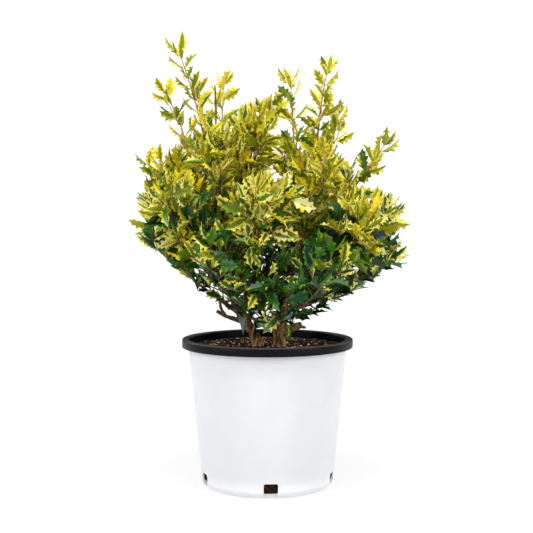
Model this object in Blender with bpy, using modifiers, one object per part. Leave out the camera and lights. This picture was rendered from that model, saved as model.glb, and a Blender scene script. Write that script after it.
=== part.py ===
"""A variegated holly-leaved osmanthus, a flowering evergreen shrub, in a white nursery pot.

Metres, +Z up. The origin is the middle of the pot's flat underside, and the shrub is seen in the
reference view from -Y. Two stems rise from the potting mix. Boughs leave them, and each bough ends
where it enters a mass of foliage: one stem with side twigs and opposite leaves, in a space of its
own, fused into one body. Neighbours that touch on the real plant keep a gap of 0.3 mm.
"""

import math
import random
from collections import namedtuple

import bmesh
import bpy
from mathutils import Matrix, Vector
from mathutils.geometry import intersect_ray_tri

GAP = 0.0003
WELD = 0.00002
UP = Vector((0, 0, 1))

# The pot: a tapering white wall with a floor, under a black rim
POT_HEIGHT = 0.241
RIM_RADIUS = 0.1402
RIM_INNER_RADIUS = 0.1272
RIM_DEPTH = 0.0133
RIM_ROUND = 0.0022
RIM_LOW_BEVEL = 0.0010
WALL_TOP_RADIUS = 0.1297
WALL_LOW_RADIUS = 0.1087
WALL_THICKNESS = 0.0024
FOOT_RADIUS = 0.0985
FOOT_HEIGHT = 0.0130
FLOOR_THICKNESS = 0.0032
FLOOR_RADIUS = 0.0983
TURN_STEPS = 32

# The drain holes, cut through the foot of the wall
HOLE_COUNT = 5
HOLE_WIDTH = 0.0225
HOLE_HEIGHT = 0.0250
HOLE_DEPTH = 0.0180
HOLE_MIDDLE = 0.1097
HOLE_TURN = math.radians(-90 + 2.8)

# The potting mix, a little lower at its edge
MIX_TOP = 0.2280
MIX_EDGE_DIP = 0.0030
MIX_EDGE_WIDTH = 0.0150
MIX_GAP = 0.0007
MIX_LOW_RADIUS = 0.0960

# Stations up each stem: x, y, height above the potting mix, radius
LEFT_STEM = (
    (-0.0154, 0.000, -0.006, 0.0112),
    (-0.0156, 0.000, 0.003, 0.0096),
    (-0.0235, 0.002, 0.021, 0.0078),
    (-0.0360, 0.004, 0.041, 0.0088),
    (-0.0530, 0.008, 0.072, 0.0080),
    (-0.0700, 0.010, 0.120, 0.0066),
    (-0.0840, 0.006, 0.190, 0.0052),
    (-0.0890, 0.000, 0.245, 0.0040),
)
RIGHT_STEM = (
    (0.0198, 0.000, -0.006, 0.0128),
    (0.0198, 0.000, 0.003, 0.0112),
    (0.0188, -0.001, 0.022, 0.0096),
    (0.0205, -0.002, 0.042, 0.0108),
    (0.0270, -0.002, 0.075, 0.0080),
    (0.0420, 0.002, 0.125, 0.0066),
    (0.0590, 0.004, 0.190, 0.0052),
    (0.0700, 0.004, 0.245, 0.0040),
)
STEM_SIDES = 8
STEM_STEPS = 2

# The dead wood, in stations as above: a pruned branch with a prong, a cut stub with a short shoot,
# and the bare twig that stands up between the left shoots
DEAD_BRANCH = (
    (-0.0330, 0.003, 0.036, 0.0042),
    (-0.0520, -0.004, 0.044, 0.0036),
    (-0.0690, -0.007, 0.050, 0.0032),
    (-0.0830, -0.008, 0.058, 0.0030),
)
DEAD_PRONG = (
    (-0.0670, -0.007, 0.049, 0.0026),
    (-0.0755, -0.008, 0.062, 0.0023),
    (-0.0785, -0.006, 0.078, 0.0018),
)
CUT_STUB = (
    (0.0200, -0.002, 0.022, 0.0086),
    (0.0380, -0.006, 0.029, 0.0070),
    (0.0500, -0.008, 0.034, 0.0062),
    (0.0565, -0.009, 0.036, 0.0046),
)
CUT_SHOOT = (
    (0.0500, -0.008, 0.034, 0.0036),
    (0.0580, -0.009, 0.032, 0.0026),
    (0.0625, -0.010, 0.031, 0.0018),
)
BARE_TWIG = (
    (-0.0880, 0.000, 0.232, 0.0022),
    (-0.0800, -0.006, 0.275, 0.0019),
    (-0.0850, -0.010, 0.330, 0.0016),
    (-0.0830, -0.012, 0.380, 0.0014),
    (-0.0850, -0.012, 0.425, 0.0010),
)
BRANCH_SIDES = 6
SHOOT_SIDES = 5

# The crown's tiers. leave: height above the mix where the lowest bough leaves its stem, and step to
# the next one. foot: share of the path that is bough. thick: radius where it leaves the stem.
# reach, past: how far foliage may lie from its stem and past its tip. twigs: side twigs of a mass.
# leaf: length of a leaf. bare: share of a side twig without leaves.
Tier = namedtuple("Tier", "leave step foot thick reach past twigs leaf bare")
TIERS = {
    "low": Tier(0.036, 0.011, 0.30, 0.0042, 0.090, 0.056, 7, 0.060, 0.3),
    "mid": Tier(0.066, 0.013, 0.42, 0.0046, 0.090, 0.060, 6, 0.062, 0.3),
    "high": Tier(0.118, 0.018, 0.40, 0.0040, 0.085, 0.056, 5, 0.056, 0.3),
    "shoot": Tier(0.166, 0.014, 0.40, 0.0034, 0.050, 0.042, 2, 0.046, 0.4),
}

# The rings of masses that make the dome: tier, how many, azimuth of the first from +X in degrees,
# distance of the tips from the crown's axis, their height, and how much both vary. The crown leans:
# its rings and its lower edge lie higher on the left, by this share of the way.
RINGS = (
    ("low", 6, -60, 0.172, 0.380, 0.008),
    ("mid", 7, 12, 0.180, 0.454, 0.010),
    ("high", 4, 45, 0.104, 0.540, 0.012),
)
CROWN_AXIS = Vector((0.004, 0.0, 0.0))
CROWN_LEAN = 0.09
SIDES = ("right", "back_right", "back", "back_left", "left", "front_left", "front", "front_right")

# The masses outside the rings: the dome's shoulders, the upright shoots above it, and the leaves in
# front of the stems' feet. Name, tier, stem, tip
SINGLES = (
    ("high_left", "high", "left", (-0.166, -0.020, 0.520)),
    ("shoot_right_outer", "shoot", "right", (0.181, -0.030, 0.546)),
    ("shoot_left_top", "shoot", "left", (-0.138, -0.020, 0.694)),
    ("shoot_left_outer", "shoot", "left", (-0.168, 0.055, 0.640)),
    ("shoot_left_inner", "shoot", "left", (-0.076, 0.100, 0.657)),
    ("high_front", "high", "left", (-0.014, -0.088, 0.588)),
    ("shoot_right_inner", "shoot", "right", (0.040, 0.085, 0.658)),
    ("shoot_right_top", "shoot", "right", (0.094, -0.030, 0.665)),
    ("shoot_right", "shoot", "right", (0.119, 0.070, 0.604)),
    ("low_front", "low", "left", (0.002, -0.112, 0.362)),
)
ON_STEM = ("shoot_left_top", "shoot_right_top")

# How many times further outward than the others these shoots bend at their tips
LEANING = {"shoot_left_outer": 2.0, "shoot_right_outer": 1.5}

# How a bough leaves its stem and how its mass's stem arrives at the tip: outward and upward parts
# of each direction, the share of the rise added to the upward part, and the length of each handle
LEAVE_OUT, LEAVE_UP, LEAVE_RISE, LEAVE_HANDLE = 1.0, 0.20, 0.90, 0.34
ARRIVE_OUT, ARRIVE_UP, ARRIVE_RISE, ARRIVE_HANDLE = 0.45, 0.25, 1.0, 0.36
TAPER = 0.8
BOUGH_SIDES = 4
BOUGH_STEPS = 4

# The lower edge of the crown rises outward from the stems up to a level, and hangs lower in a skirt
# of leaves in front of the stems' feet
CROWN_LOW = 0.282
CROWN_LOW_WIDTH = 0.075
CROWN_LOW_SLOPE = 0.78
CROWN_LOW_TOP = 0.374
SKIRT_LOW = 0.256
SKIRT_WIDTH = 0.042
SPACE_MARGIN = 0.0012
LIMB_MARGIN = 0.0018

# Side twigs, spread round their stem by the golden angle
GOLDEN_ANGLE = math.radians(137.5)
TWIG_RADIUS = 0.0022
TWIG_TIP_RADIUS = 0.0012
TWIG_SIDES = 3
MASS_STEM_STEPS = 4
FIRST_TWIG, TWIG_SPREAD, TWIG_JITTER = 0.10, 0.72, 0.2
TWIG_ALONG, TWIG_OUT, TWIG_UP = 0.62, 0.85, 0.30
TWIG_LENGTH = (0.52, 0.68)
TWIG_LOWEST, TWIG_SHORTER_UP = 1.15, 0.35
SHORTEST_TWIG = 0.018
TWIG_CUT = 0.85
NEARBY = 0.02

# Leaves, in opposite pairs each square to the last, the pair at a twig's tip smaller and more upright
PAIR_STEP = 0.80
FIRST_PAIR = 0.012
LAST_PAIR = 0.001
STEM_BARE = 0.10
PAIR_TWIST = 0.2
LEAF_ANGLE = math.radians(52)
ANGLE_VARY = (0.80, 1.15)
TIP_PAIR_ANGLE = 0.62
LENGTH_VARY = (0.86, 1.08)
TIP_PAIR_LENGTH = 0.86
LEAF_WIDTH = 0.52
LEAF_WIDEST = 0.45
LEAF_HEART = 0.42
LEAF_THICKNESS = 0.030
LEAF_FOLD = 0.16
LEAF_DROOP = 0.10
ROOT_DEPTH = 0.0008
NECK = 0.0040

# The turns about its twig, and the shares of its length, that a leaf tries in order to fit
TRIES = ((0, 1), (0.4, 0.92), (-0.4, 0.92), (0.8, 0.84), (-0.8, 0.84), (0.2, 0.75), (-0.2, 0.75))


def clear_scene():
    for obj in list(bpy.data.objects):
        bpy.data.objects.remove(obj, do_unlink=True)


def new_collection(name):
    collection = bpy.data.collections.new(name)
    bpy.context.scene.collection.children.link(collection)
    return collection


def material(name, colour, roughness, metallic=0.0):
    """One Principled finish."""
    made = bpy.data.materials.new(name)
    made.use_nodes = True
    shader = made.node_tree.nodes["Principled BSDF"]
    shader.inputs["Base Color"].default_value = (*colour, 1.0)
    shader.inputs["Roughness"].default_value = roughness
    shader.inputs["Metallic"].default_value = metallic
    return made


def add_object(name, mesh, collection, finish=None):
    if finish:
        mesh.materials.clear()
        mesh.materials.append(finish)
    obj = bpy.data.objects.new(name, mesh)
    collection.objects.link(obj)
    return obj


def remove_object(obj):
    mesh = obj.data
    bpy.data.objects.remove(obj)
    bpy.data.meshes.remove(mesh)


def evaluated_mesh(obj):
    """A copy of the object's mesh with its modifiers applied."""
    bpy.context.view_layer.update()
    graph = bpy.context.evaluated_depsgraph_get()
    return bpy.data.meshes.new_from_object(obj.evaluated_get(graph))


def turned(name, profile, finish, collection):
    """A closed body turned about Z, from (radius, height) points that run down the outer side."""
    points = [(radius, 0.0, height) for radius, height in profile]
    edges = [(i, i + 1) for i in range(len(points) - 1)]
    if profile[0][0] and profile[-1][0]:
        edges.append((len(points) - 1, 0))
    mesh = bpy.data.meshes.new(name)
    mesh.from_pydata(points, edges, [])
    obj = add_object(name, mesh, collection, finish)
    screw = obj.modifiers.new("Turn", "SCREW")
    screw.steps = screw.render_steps = TURN_STEPS
    screw.use_merge_vertices = True
    screw.merge_threshold = WELD
    return obj


def arc(centre, radius, start, end, steps):
    """Points (radius, height) along a circular arc of a profile, its angles in degrees."""
    turns = (math.radians(start + (end - start) * i / steps) for i in range(steps + 1))
    return [(centre[0] + radius * math.cos(a), centre[1] + radius * math.sin(a)) for a in turns]


def wall_radius(height):
    """The pot's outer radius at a height above its rounded foot."""
    top = POT_HEIGHT - RIM_DEPTH - GAP
    share = (height - FOOT_HEIGHT) / (top - FOOT_HEIGHT)
    return WALL_LOW_RADIUS + (WALL_TOP_RADIUS - WALL_LOW_RADIUS) * share


def build_wall(finish, collection):
    """The pot's wall and floor, from the middle of the floor's upper side round to its underside."""
    top = POT_HEIGHT - RIM_DEPTH - GAP
    foot_width = WALL_LOW_RADIUS - FOOT_RADIUS
    turns = [math.radians(angle) for angle in (90, 60, 30, 0)]
    foot = [(FOOT_RADIUS + foot_width * math.sin(a), FOOT_HEIGHT * (1 - math.cos(a))) for a in turns]
    profile = [
        (0.0, FLOOR_THICKNESS),
        (FLOOR_RADIUS, FLOOR_THICKNESS),
        (WALL_LOW_RADIUS - WALL_THICKNESS, FOOT_HEIGHT),
        (WALL_TOP_RADIUS - WALL_THICKNESS, top),
        (WALL_TOP_RADIUS, top),
        *foot,
        (0.0, 0.0),
    ]
    return turned("pot_wall", profile, finish, collection)


def cut_drain_holes(wall, cutters):
    for i in range(HOLE_COUNT):
        turn = HOLE_TURN + math.tau * i / HOLE_COUNT
        bpy.ops.mesh.primitive_cube_add(size=1.0)
        cutter = bpy.context.object
        cutter.name = f"drain_cutter_{i + 1}"
        cutter.scale = (HOLE_DEPTH, HOLE_WIDTH, 2 * HOLE_HEIGHT)
        cutter.rotation_euler = (0, 0, turn)
        cutter.location = (HOLE_MIDDLE * math.cos(turn), HOLE_MIDDLE * math.sin(turn), 0.0)
        cutter.hide_render = True
        cutter.display_type = "WIRE"
        for home in list(cutter.users_collection):
            home.objects.unlink(cutter)
        cutters.objects.link(cutter)
        cut = wall.modifiers.new(cutter.name, "BOOLEAN")
        cut.operation = "DIFFERENCE"
        cut.object = cutter


def build_rim(finish, collection):
    low = POT_HEIGHT - RIM_DEPTH
    high = POT_HEIGHT - RIM_ROUND
    profile = [
        *arc((RIM_INNER_RADIUS + RIM_ROUND, high), RIM_ROUND, 180, 90, 2),
        *arc((RIM_RADIUS - RIM_ROUND, high), RIM_ROUND, 90, 0, 2),
        (RIM_RADIUS, low + RIM_LOW_BEVEL),
        (RIM_RADIUS - RIM_LOW_BEVEL, low),
        (RIM_INNER_RADIUS, low),
    ]
    turned("pot_rim", profile, finish, collection)


def build_mix(finish, collection):
    inside = WALL_THICKNESS + MIX_GAP
    profile = [
        (0.0, MIX_TOP),
        (wall_radius(MIX_TOP) - inside - MIX_EDGE_WIDTH, MIX_TOP),
        (wall_radius(MIX_TOP) - inside, MIX_TOP - MIX_EDGE_DIP),
        (wall_radius(FOOT_HEIGHT) - inside, FOOT_HEIGHT),
        (MIX_LOW_RADIUS, FLOOR_THICKNESS + GAP),
        (0.0, FLOOR_THICKNESS + GAP),
    ]
    turned("potting_mix", profile, finish, collection)


def smooth_path(stations, steps):
    """(point, radius) pairs on a Catmull-Rom curve through stations measured from the potting mix."""
    rows = [Vector((x, y, z + MIX_TOP + GAP, radius)) for x, y, z, radius in stations]
    rows = [2 * rows[0] - rows[1], *rows, 2 * rows[-1] - rows[-2]]
    path = []
    for p0, p1, p2, p3 in zip(rows, rows[1:], rows[2:], rows[3:], strict=False):
        for t in (k / steps for k in range(steps)):
            bend = (2 * p0 - 5 * p1 + 4 * p2 - p3) * t**2 + (3 * p1 - p0 - 3 * p2 + p3) * t**3
            path.append(0.5 * (2 * p1 + (p2 - p0) * t + bend))
    path.append(rows[-2])
    return [(row.xyz, row[3]) for row in path]


def ring_outline(sides):
    """A polygon of unit radius that gives a tube its sides."""
    ring = bpy.data.curves.new("ring", "CURVE")
    ring.dimensions = "2D"
    spline = ring.splines.new("POLY")
    spline.points.add(sides - 1)
    for i, point in enumerate(spline.points):
        turn = math.tau * i / sides
        point.co = (math.cos(turn), math.sin(turn), 0, 1)
    spline.use_cyclic_u = True
    return ring


def tube_mesh(path, sides, grow=0.0):
    """A closed tube along (point, radius) pairs, from a poly curve swept with a polygon."""
    home = bpy.context.scene.collection
    ring = bpy.data.objects.new("ring", ring_outline(sides))
    home.objects.link(ring)
    curve = bpy.data.curves.new("tube", "CURVE")
    curve.dimensions = "3D"
    curve.use_fill_caps = True
    curve.bevel_mode = "OBJECT"
    curve.bevel_object = ring
    spline = curve.splines.new("POLY")
    spline.points.add(len(path) - 1)
    for point, (place, radius) in zip(spline.points, path, strict=True):
        point.co = (*place, 1)
        point.radius = radius + grow
    tube = bpy.data.objects.new("tube", curve)
    home.objects.link(tube)
    mesh = evaluated_mesh(tube)
    bpy.data.objects.remove(tube)
    bpy.data.objects.remove(ring)
    bm = bmesh.new()
    bm.from_mesh(mesh)
    bmesh.ops.remove_doubles(bm, verts=bm.verts, dist=WELD)
    bmesh.ops.recalc_face_normals(bm, faces=bm.faces)
    bm.to_mesh(mesh)
    bm.free()
    return mesh


def boolean(obj, other, operation, solver="EXACT"):
    """Applies one Boolean of obj with an object or a collection, and keeps the largest body."""
    joined = obj.modifiers.new("Join", "BOOLEAN")
    joined.operation = operation
    joined.solver = solver
    if isinstance(other, bpy.types.Collection):
        joined.operand_type = "COLLECTION"
        joined.collection = other
    else:
        joined.object = other
    mesh = evaluated_mesh(obj)
    obj.modifiers.clear()
    old = obj.data
    mesh.materials.clear()
    mesh.materials.append(old.materials[0])
    obj.data = mesh
    bpy.data.meshes.remove(old)
    keep_largest(mesh)


def keep_largest(mesh):
    """Drops each loose scrap and each sealed hollow from a mesh."""
    bm = bmesh.new()
    bm.from_mesh(mesh)
    unseen = set(bm.faces)
    islands = []
    while unseen:
        start = unseen.pop()
        island, todo = [start], [start]
        while todo:
            near = {face for edge in todo.pop().edges for face in edge.link_faces} & unseen
            unseen -= near
            island.extend(near)
            todo.extend(near)
        islands.append(island)
    islands.sort(key=len, reverse=True)
    for island in islands[1:]:
        bmesh.ops.delete(bm, geom=island, context="FACES")
    loose = [vert for vert in bm.verts if not vert.link_faces]
    bmesh.ops.delete(bm, geom=loose, context="VERTS")
    bm.to_mesh(mesh)
    bm.free()


def cut_clear(limb, path, sides):
    """Cuts a limb back to a gap from the tube along path."""
    home = bpy.context.scene.collection
    cutter = add_object("cutter", tube_mesh(path, sides, grow=GAP), home)
    boolean(limb, cutter, "DIFFERENCE")
    remove_object(cutter)


def build_stem(name, stations, finish, collection):
    """A stem from its flat cut on the potting mix to its tip, and its path."""
    path = smooth_path(stations, STEM_STEPS)
    mesh = tube_mesh(path, STEM_SIDES)
    bm = bmesh.new()
    bm.from_mesh(mesh)
    whole = [*bm.verts, *bm.edges, *bm.faces]
    ground = (0, 0, MIX_TOP + GAP)
    cut = bmesh.ops.bisect_plane(bm, geom=whole, plane_co=ground, plane_no=UP, clear_inner=True)
    edges = [piece for piece in cut["geom_cut"] if isinstance(piece, bmesh.types.BMEdge)]
    bmesh.ops.holes_fill(bm, edges=edges, sides=0)
    bmesh.ops.recalc_face_normals(bm, faces=bm.faces)
    bm.to_mesh(mesh)
    bm.free()
    add_object(name, mesh, collection, finish)
    return path


def build_pruned_wood(name, stations, side_stations, parent, finish, collection):
    """A pruned branch and the short shoot on it, fused and cut clear of its stem, and their paths."""
    path = smooth_path(stations, STEM_STEPS)
    side_path = smooth_path(side_stations, 1)
    branch = add_object(name, tube_mesh(path, BRANCH_SIDES), collection, finish)
    shoot = add_object("shoot", tube_mesh(side_path, SHOOT_SIDES), bpy.context.scene.collection)
    boolean(branch, shoot, "UNION")
    remove_object(shoot)
    cut_clear(branch, parent, STEM_SIDES)
    return [path, side_path]


def build_bare_twig(parent, finish, collection):
    path = smooth_path(BARE_TWIG, 1)
    twig = add_object("bare_twig", tube_mesh(path, SHOOT_SIDES), collection, finish)
    cut_clear(twig, parent, STEM_SIDES)
    return path


def point_at_height(path, height):
    """The point of a stem's path at a height above the potting mix."""
    height += MIX_TOP + GAP
    for (low, _), (high, _) in zip(path, path[1:], strict=False):
        if low.z <= height <= high.z:
            return low.lerp(high, (height - low.z) / (high.z - low.z))
    return path[-1][0]


class Mass:
    """One mass of foliage, its bough and its own stem on one curve from start to tip."""

    def __init__(self, name, tier, side, tip, start, stem_heading=None):
        self.name = name
        self.tier_name = tier
        self.tier = TIERS[tier]
        self.side = side
        self.seed = sum(ord(letter) * (i + 3) for i, letter in enumerate(name))
        self.foot = 0.0 if stem_heading else self.tier.foot
        span = tip - start
        rise = span.z / span.length
        flat = Vector((span.x, span.y, 0)).normalized()
        leave = stem_heading or flat * LEAVE_OUT + UP * (LEAVE_UP + LEAVE_RISE * rise)
        arrive = flat * ARRIVE_OUT * LEANING.get(name, 1) + UP * (ARRIVE_UP + ARRIVE_RISE * rise)
        near = start + leave.normalized() * span.length * LEAVE_HANDLE
        far = tip - arrive.normalized() * span.length * ARRIVE_HANDLE
        self.curve = (start, near, far, tip)

    def at(self, t):
        p0, p1, p2, p3 = self.curve
        s = 1 - t
        return s**3 * p0 + 3 * s * s * t * p1 + 3 * s * t * t * p2 + t**3 * p3

    def stretch(self, first, last, steps):
        """(point, radius) pairs along the curve between two shares of it."""
        thick = self.tier.thick
        shares = [first + (last - first) * i / steps for i in range(steps + 1)]
        return [(self.at(t), thick + (TWIG_TIP_RADIUS - thick) * t**TAPER) for t in shares]


def plan_rows():
    """The name, tier, stem side and tip of every mass: the rings of the dome, then the single ones."""
    rows = []
    for tier, count, first, distance, height, vary in RINGS:
        rng = random.Random(tier)
        for i in range(count):
            azimuth = first + 360 * i / count
            turn = math.radians(azimuth)
            away = distance + rng.uniform(-vary, vary)
            tip = CROWN_AXIS + Vector((away * math.cos(turn), away * math.sin(turn), height))
            tip.z += rng.uniform(-vary, vary) - CROWN_LEAN * tip.x
            side = "left" if tip.x < CROWN_AXIS.x - GAP else "right"
            rows.append((f"{tier}_{SIDES[round(azimuth / 45) % 8]}", tier, side, tip))
    return rows + [(name, tier, side, Vector(tip)) for name, tier, side, tip in SINGLES]


def plan_masses(stems):
    """Every mass, each with a start of its own on its stem."""
    order = {}
    masses = []
    for name, tier, side, tip in plan_rows():
        if name in ON_STEM:
            (below, _), (top, _) = stems[side][-2:]
            heading = (top - below).normalized()
            masses.append(Mass(name, tier, side, tip, top + heading * GAP, heading))
            continue
        place = order.get((tier, side), 0)
        order[(tier, side)] = place + 1
        start = point_at_height(stems[side], TIERS[tier].leave + TIERS[tier].step * place)
        masses.append(Mass(name, tier, side, tip, start))
    return masses


def build_boughs(masses, stems, finish, collection):
    """The bough of each mass that has one, cut clear of its stem and of the boughs before it."""
    paths = {side: [] for side in stems}
    for mass in masses:
        if mass.foot == 0.0:
            continue
        path = mass.stretch(0.0, mass.foot, BOUGH_STEPS)
        bough = add_object("bough_" + mass.name, tube_mesh(path, BOUGH_SIDES), collection, finish)
        cut_clear(bough, stems[mass.side], STEM_SIDES)
        for other in paths[mass.side]:
            cut_clear(bough, other, BOUGH_SIDES)
        paths[mass.side].append(path)
    return [path for side_paths in paths.values() for path in side_paths]


def nearest_on(point, line):
    """How far a point lies from a line of points, and whether it lies past the line's end."""
    best, past = math.inf, False
    for a, b in zip(line, line[1:], strict=False):
        share = (point - a).dot(b - a) / (b - a).length_squared
        away = (point - a.lerp(b, max(0.0, min(1.0, share)))).length
        if away < best:
            best, past = away, share > 1.0 and b is line[-1]
    return best, past


def segment_gap(p, q, a, b):
    """The least distance between the segments p-q and a-b."""
    u, v, w = q - p, b - a, p - a
    uu, uv, vv, uw, vw = u.dot(u), u.dot(v), v.dot(v), u.dot(w), v.dot(w)
    det = uu * vv - uv * uv
    s = 0.0 if det < 1e-14 else max(0.0, min(1.0, (uv * vw - vv * uw) / det))
    t = max(0.0, min(1.0, (uv * s + vw) / vv))
    s = max(0.0, min(1.0, (uv * t - uw) / uu))
    return (p + u * s - a - v * t).length


class Space:
    """What a mass may use: points in its reach, nearer its own stem than any other, off the limbs."""

    def __init__(self, masses, limbs):
        self.lines = {m.name: [p for p, _ in m.stretch(m.foot, 1.0, 6)] for m in masses}
        self.tiers = {m.name: m.tier for m in masses}
        self.limbs = limbs

    def holds(self, name, point):
        away, past = nearest_on(point, self.lines[name])
        tier = self.tiers[name]
        if away > (tier.past if past else tier.reach):
            return False
        wide = max(0.0, (point - CROWN_AXIS).xy.length - CROWN_LOW_WIDTH)
        lowest = min(CROWN_LOW + CROWN_LOW_SLOPE * wide, CROWN_LOW_TOP)
        if abs(point.x) < SKIRT_WIDTH:
            lowest = SKIRT_LOW
        if point.z < lowest - CROWN_LEAN * point.x:
            return False
        others = (line for other, line in self.lines.items() if other != name)
        return all(away + 2 * SPACE_MARGIN < nearest_on(point, line)[0] for line in others)

    def clears_limbs(self, start, end, radius):
        for path in self.limbs:
            for (a, ra), (b, rb) in zip(path, path[1:], strict=False):
                if segment_gap(start, end, a, b) < max(ra, rb) + radius + LIMB_MARGIN:
                    return False
        return True


def side_vector(direction, turn):
    """A unit vector square to direction, turned about it."""
    return Matrix.Rotation(turn, 3, direction) @ direction.cross(UP).normalized()


def grow_twigs(mass, space):
    """The mass's stem, then its side twigs, as (point, radius) pairs, each as long as its space lets it."""
    rng = random.Random(mass.seed)
    stem = mass.stretch(mass.foot, 1.0, MASS_STEM_STEPS)
    if mass.foot:
        (start, radius), (second, _) = stem[:2]
        stem[0] = (start + (second - start).normalized() * GAP, radius)
    twigs = [stem]
    turn = rng.uniform(0, math.tau)
    for i in range(mass.tier.twigs):
        share = FIRST_TWIG + TWIG_SPREAD * (i + rng.uniform(-TWIG_JITTER, TWIG_JITTER)) / mass.tier.twigs
        t = mass.foot + (1 - mass.foot) * max(FIRST_TWIG / 2, share)
        root = mass.at(t)
        onward = (mass.at(min(1.0, t + NEARBY)) - mass.at(t - NEARBY)).normalized()
        turn += GOLDEN_ANGLE
        heading = onward * TWIG_ALONG + side_vector(onward, turn) * TWIG_OUT + UP * TWIG_UP
        heading.normalize()
        length = mass.tier.reach * rng.uniform(*TWIG_LENGTH) * (TWIG_LOWEST - TWIG_SHORTER_UP * share)
        while length > SHORTEST_TWIG:
            end = root + heading * length
            if space.holds(mass.name, end) and space.clears_limbs(root, end, TWIG_RADIUS):
                twigs.append([(root, TWIG_RADIUS), (end, TWIG_TIP_RADIUS)])
                break
            length *= TWIG_CUT
    return twigs


def point_along(path, distance):
    """The point and direction at a distance along (point, radius) pairs."""
    for (a, _), (b, _) in zip(path, path[1:], strict=False):
        step = (b - a).length
        if distance <= step:
            return a.lerp(b, distance / step), (b - a).normalized()
        distance -= step
    return b, (b - a).normalized()


class Leaf:
    """A leaf's corners: its root, its tip and its two sides, folded up, the tip bent out."""

    def __init__(self, root, heading, outward, angle, length):
        direction = heading * math.cos(angle) + outward * math.sin(angle)
        across = heading.cross(outward).normalized()
        self.normal = across.cross(direction)
        self.length = length
        self.base = root - direction * ROOT_DEPTH
        self.neck = root + direction * NECK
        self.tip = self.base + direction * length - self.normal * length * LEAF_DROOP
        width = length * LEAF_WIDTH
        middle = self.base + direction * length * LEAF_WIDEST + self.normal * width * LEAF_FOLD
        self.left = middle + across * width / 2
        self.right = middle - across * width / 2

    def spots(self):
        """Points of the outline that show whether the leaf stays in its mass's space."""
        sides = (self.left, self.right)
        return (self.tip, *sides, *(side.lerp(self.tip, 0.5) for side in sides))

    def edges(self):
        neck, tip, left, right = self.neck, self.tip, self.left, self.right
        return ((neck, tip), (neck, left), (neck, right), (left, tip), (right, tip), (left, right))

    def faces(self):
        return ((self.neck, self.left, self.tip), (self.neck, self.tip, self.right))

    def crosses(self, other):
        """Whether either leaf's edges pass through the other's faces."""
        for one, two in ((self, other), (other, self)):
            for start, end in one.edges():
                for face in two.faces():
                    hit = intersect_ray_tri(*face, end - start, start, True)
                    if hit is not None and (hit - start).length < (end - start).length:
                        return True
        return False

    def fits(self, name, space, others):
        """Whether the leaf stays in its space, off the limbs and off the other leaves."""
        if not all(space.holds(name, spot) for spot in self.spots()):
            return False
        if not all(space.clears_limbs(start, end, 0.0) for start, end in self.edges()):
            return False
        return not any(self.crosses(other) for other in others)


def leaf_places(mass, twig, bare, rng):
    """The root, heading, outward direction, angle and length of each leaf on a twig."""
    total = sum((b - a).length for (a, _), (b, _) in zip(twig, twig[1:], strict=False))
    first = max(total * bare, FIRST_PAIR)
    count = max(1, round((total - first) / (mass.tier.leaf * PAIR_STEP)))
    turn = rng.uniform(0, math.pi)
    for i in range(count + 1):
        distance = min(first + (total - first) * i / count, total - LAST_PAIR)
        root, heading = point_along(twig, distance)
        at_tip = i == count
        turn += math.pi / 2 + rng.uniform(-PAIR_TWIST, PAIR_TWIST)
        for half in (0, math.pi):
            angle = LEAF_ANGLE * rng.uniform(*ANGLE_VARY) * (TIP_PAIR_ANGLE if at_tip else 1)
            length = mass.tier.leaf * rng.uniform(*LENGTH_VARY) * (TIP_PAIR_LENGTH if at_tip else 1)
            yield root, heading, side_vector(heading, turn + half), angle, length


def grow_leaves(mass, twigs, space):
    """The mass's leaves that fit, each turned a little or made shorter where that helps."""
    rng = random.Random(mass.seed + 1)
    leaves = []
    for i, twig in enumerate(twigs):
        bare = mass.tier.bare if i else STEM_BARE
        for root, heading, outward, angle, length in leaf_places(mass, twig, bare, rng):
            for turn, share in TRIES:
                turned_out = Matrix.Rotation(turn, 3, heading) @ outward
                leaf = Leaf(root, heading, turned_out, angle, length * share)
                if leaf.fits(mass.name, space, leaves):
                    leaves.append(leaf)
                    break
    return leaves


def leaf_mesh(leaf):
    """A leaf of six faces: a four-sided cone pressed flat, its base ring moved to the leaf's corners."""
    bm = bmesh.new()
    bmesh.ops.create_cone(bm, cap_ends=True, segments=4, radius1=1, radius2=0, depth=1)
    midrib = []
    for vert in bm.verts:
        x, y, z = vert.co
        if z > 0:
            heart = leaf.base.lerp(leaf.tip, LEAF_HEART)
            vert.co = heart + leaf.normal * leaf.length * LEAF_THICKNESS
        elif abs(x) > 0.5:
            vert.co = leaf.tip if x > 0 else leaf.base
            midrib.append(vert)
        else:
            vert.co = leaf.left if y > 0 else leaf.right
    bmesh.ops.connect_verts(bm, verts=midrib)
    if bm.calc_volume(signed=True) < 0:
        bmesh.ops.reverse_faces(bm, faces=bm.faces)
    mesh = bpy.data.meshes.new("leaf")
    bm.to_mesh(mesh)
    bm.free()
    return mesh


def build_mass(mass, space, finish, collection):
    """The stem, twigs and leaves of one mass, fused by one union."""
    stem_path, *twigs = grow_twigs(mass, space)
    leaves = grow_leaves(mass, [stem_path, *twigs], space)
    pieces = new_collection(mass.name + "_pieces")
    for leaf in leaves:
        add_object("leaf", leaf_mesh(leaf), pieces)
    for twig in twigs:
        add_object("twig", tube_mesh(twig, TWIG_SIDES), pieces)
    stem = add_object(mass.name, tube_mesh(stem_path, TWIG_SIDES), collection, finish)
    boolean(stem, pieces, "UNION", solver="MANIFOLD")
    for piece in list(pieces.objects):
        remove_object(piece)
    bpy.data.collections.remove(pieces)


def build_pot(collection, cutters):
    white = material("pot_white", (0.86, 0.87, 0.89), 0.38)
    black = material("rim_black", (0.012, 0.013, 0.016), 0.42)
    brown = material("potting_mix", (0.065, 0.035, 0.020), 0.95)
    wall = build_wall(white, collection)
    cut_drain_holes(wall, cutters)
    build_rim(black, collection)
    build_mix(brown, collection)


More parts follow.
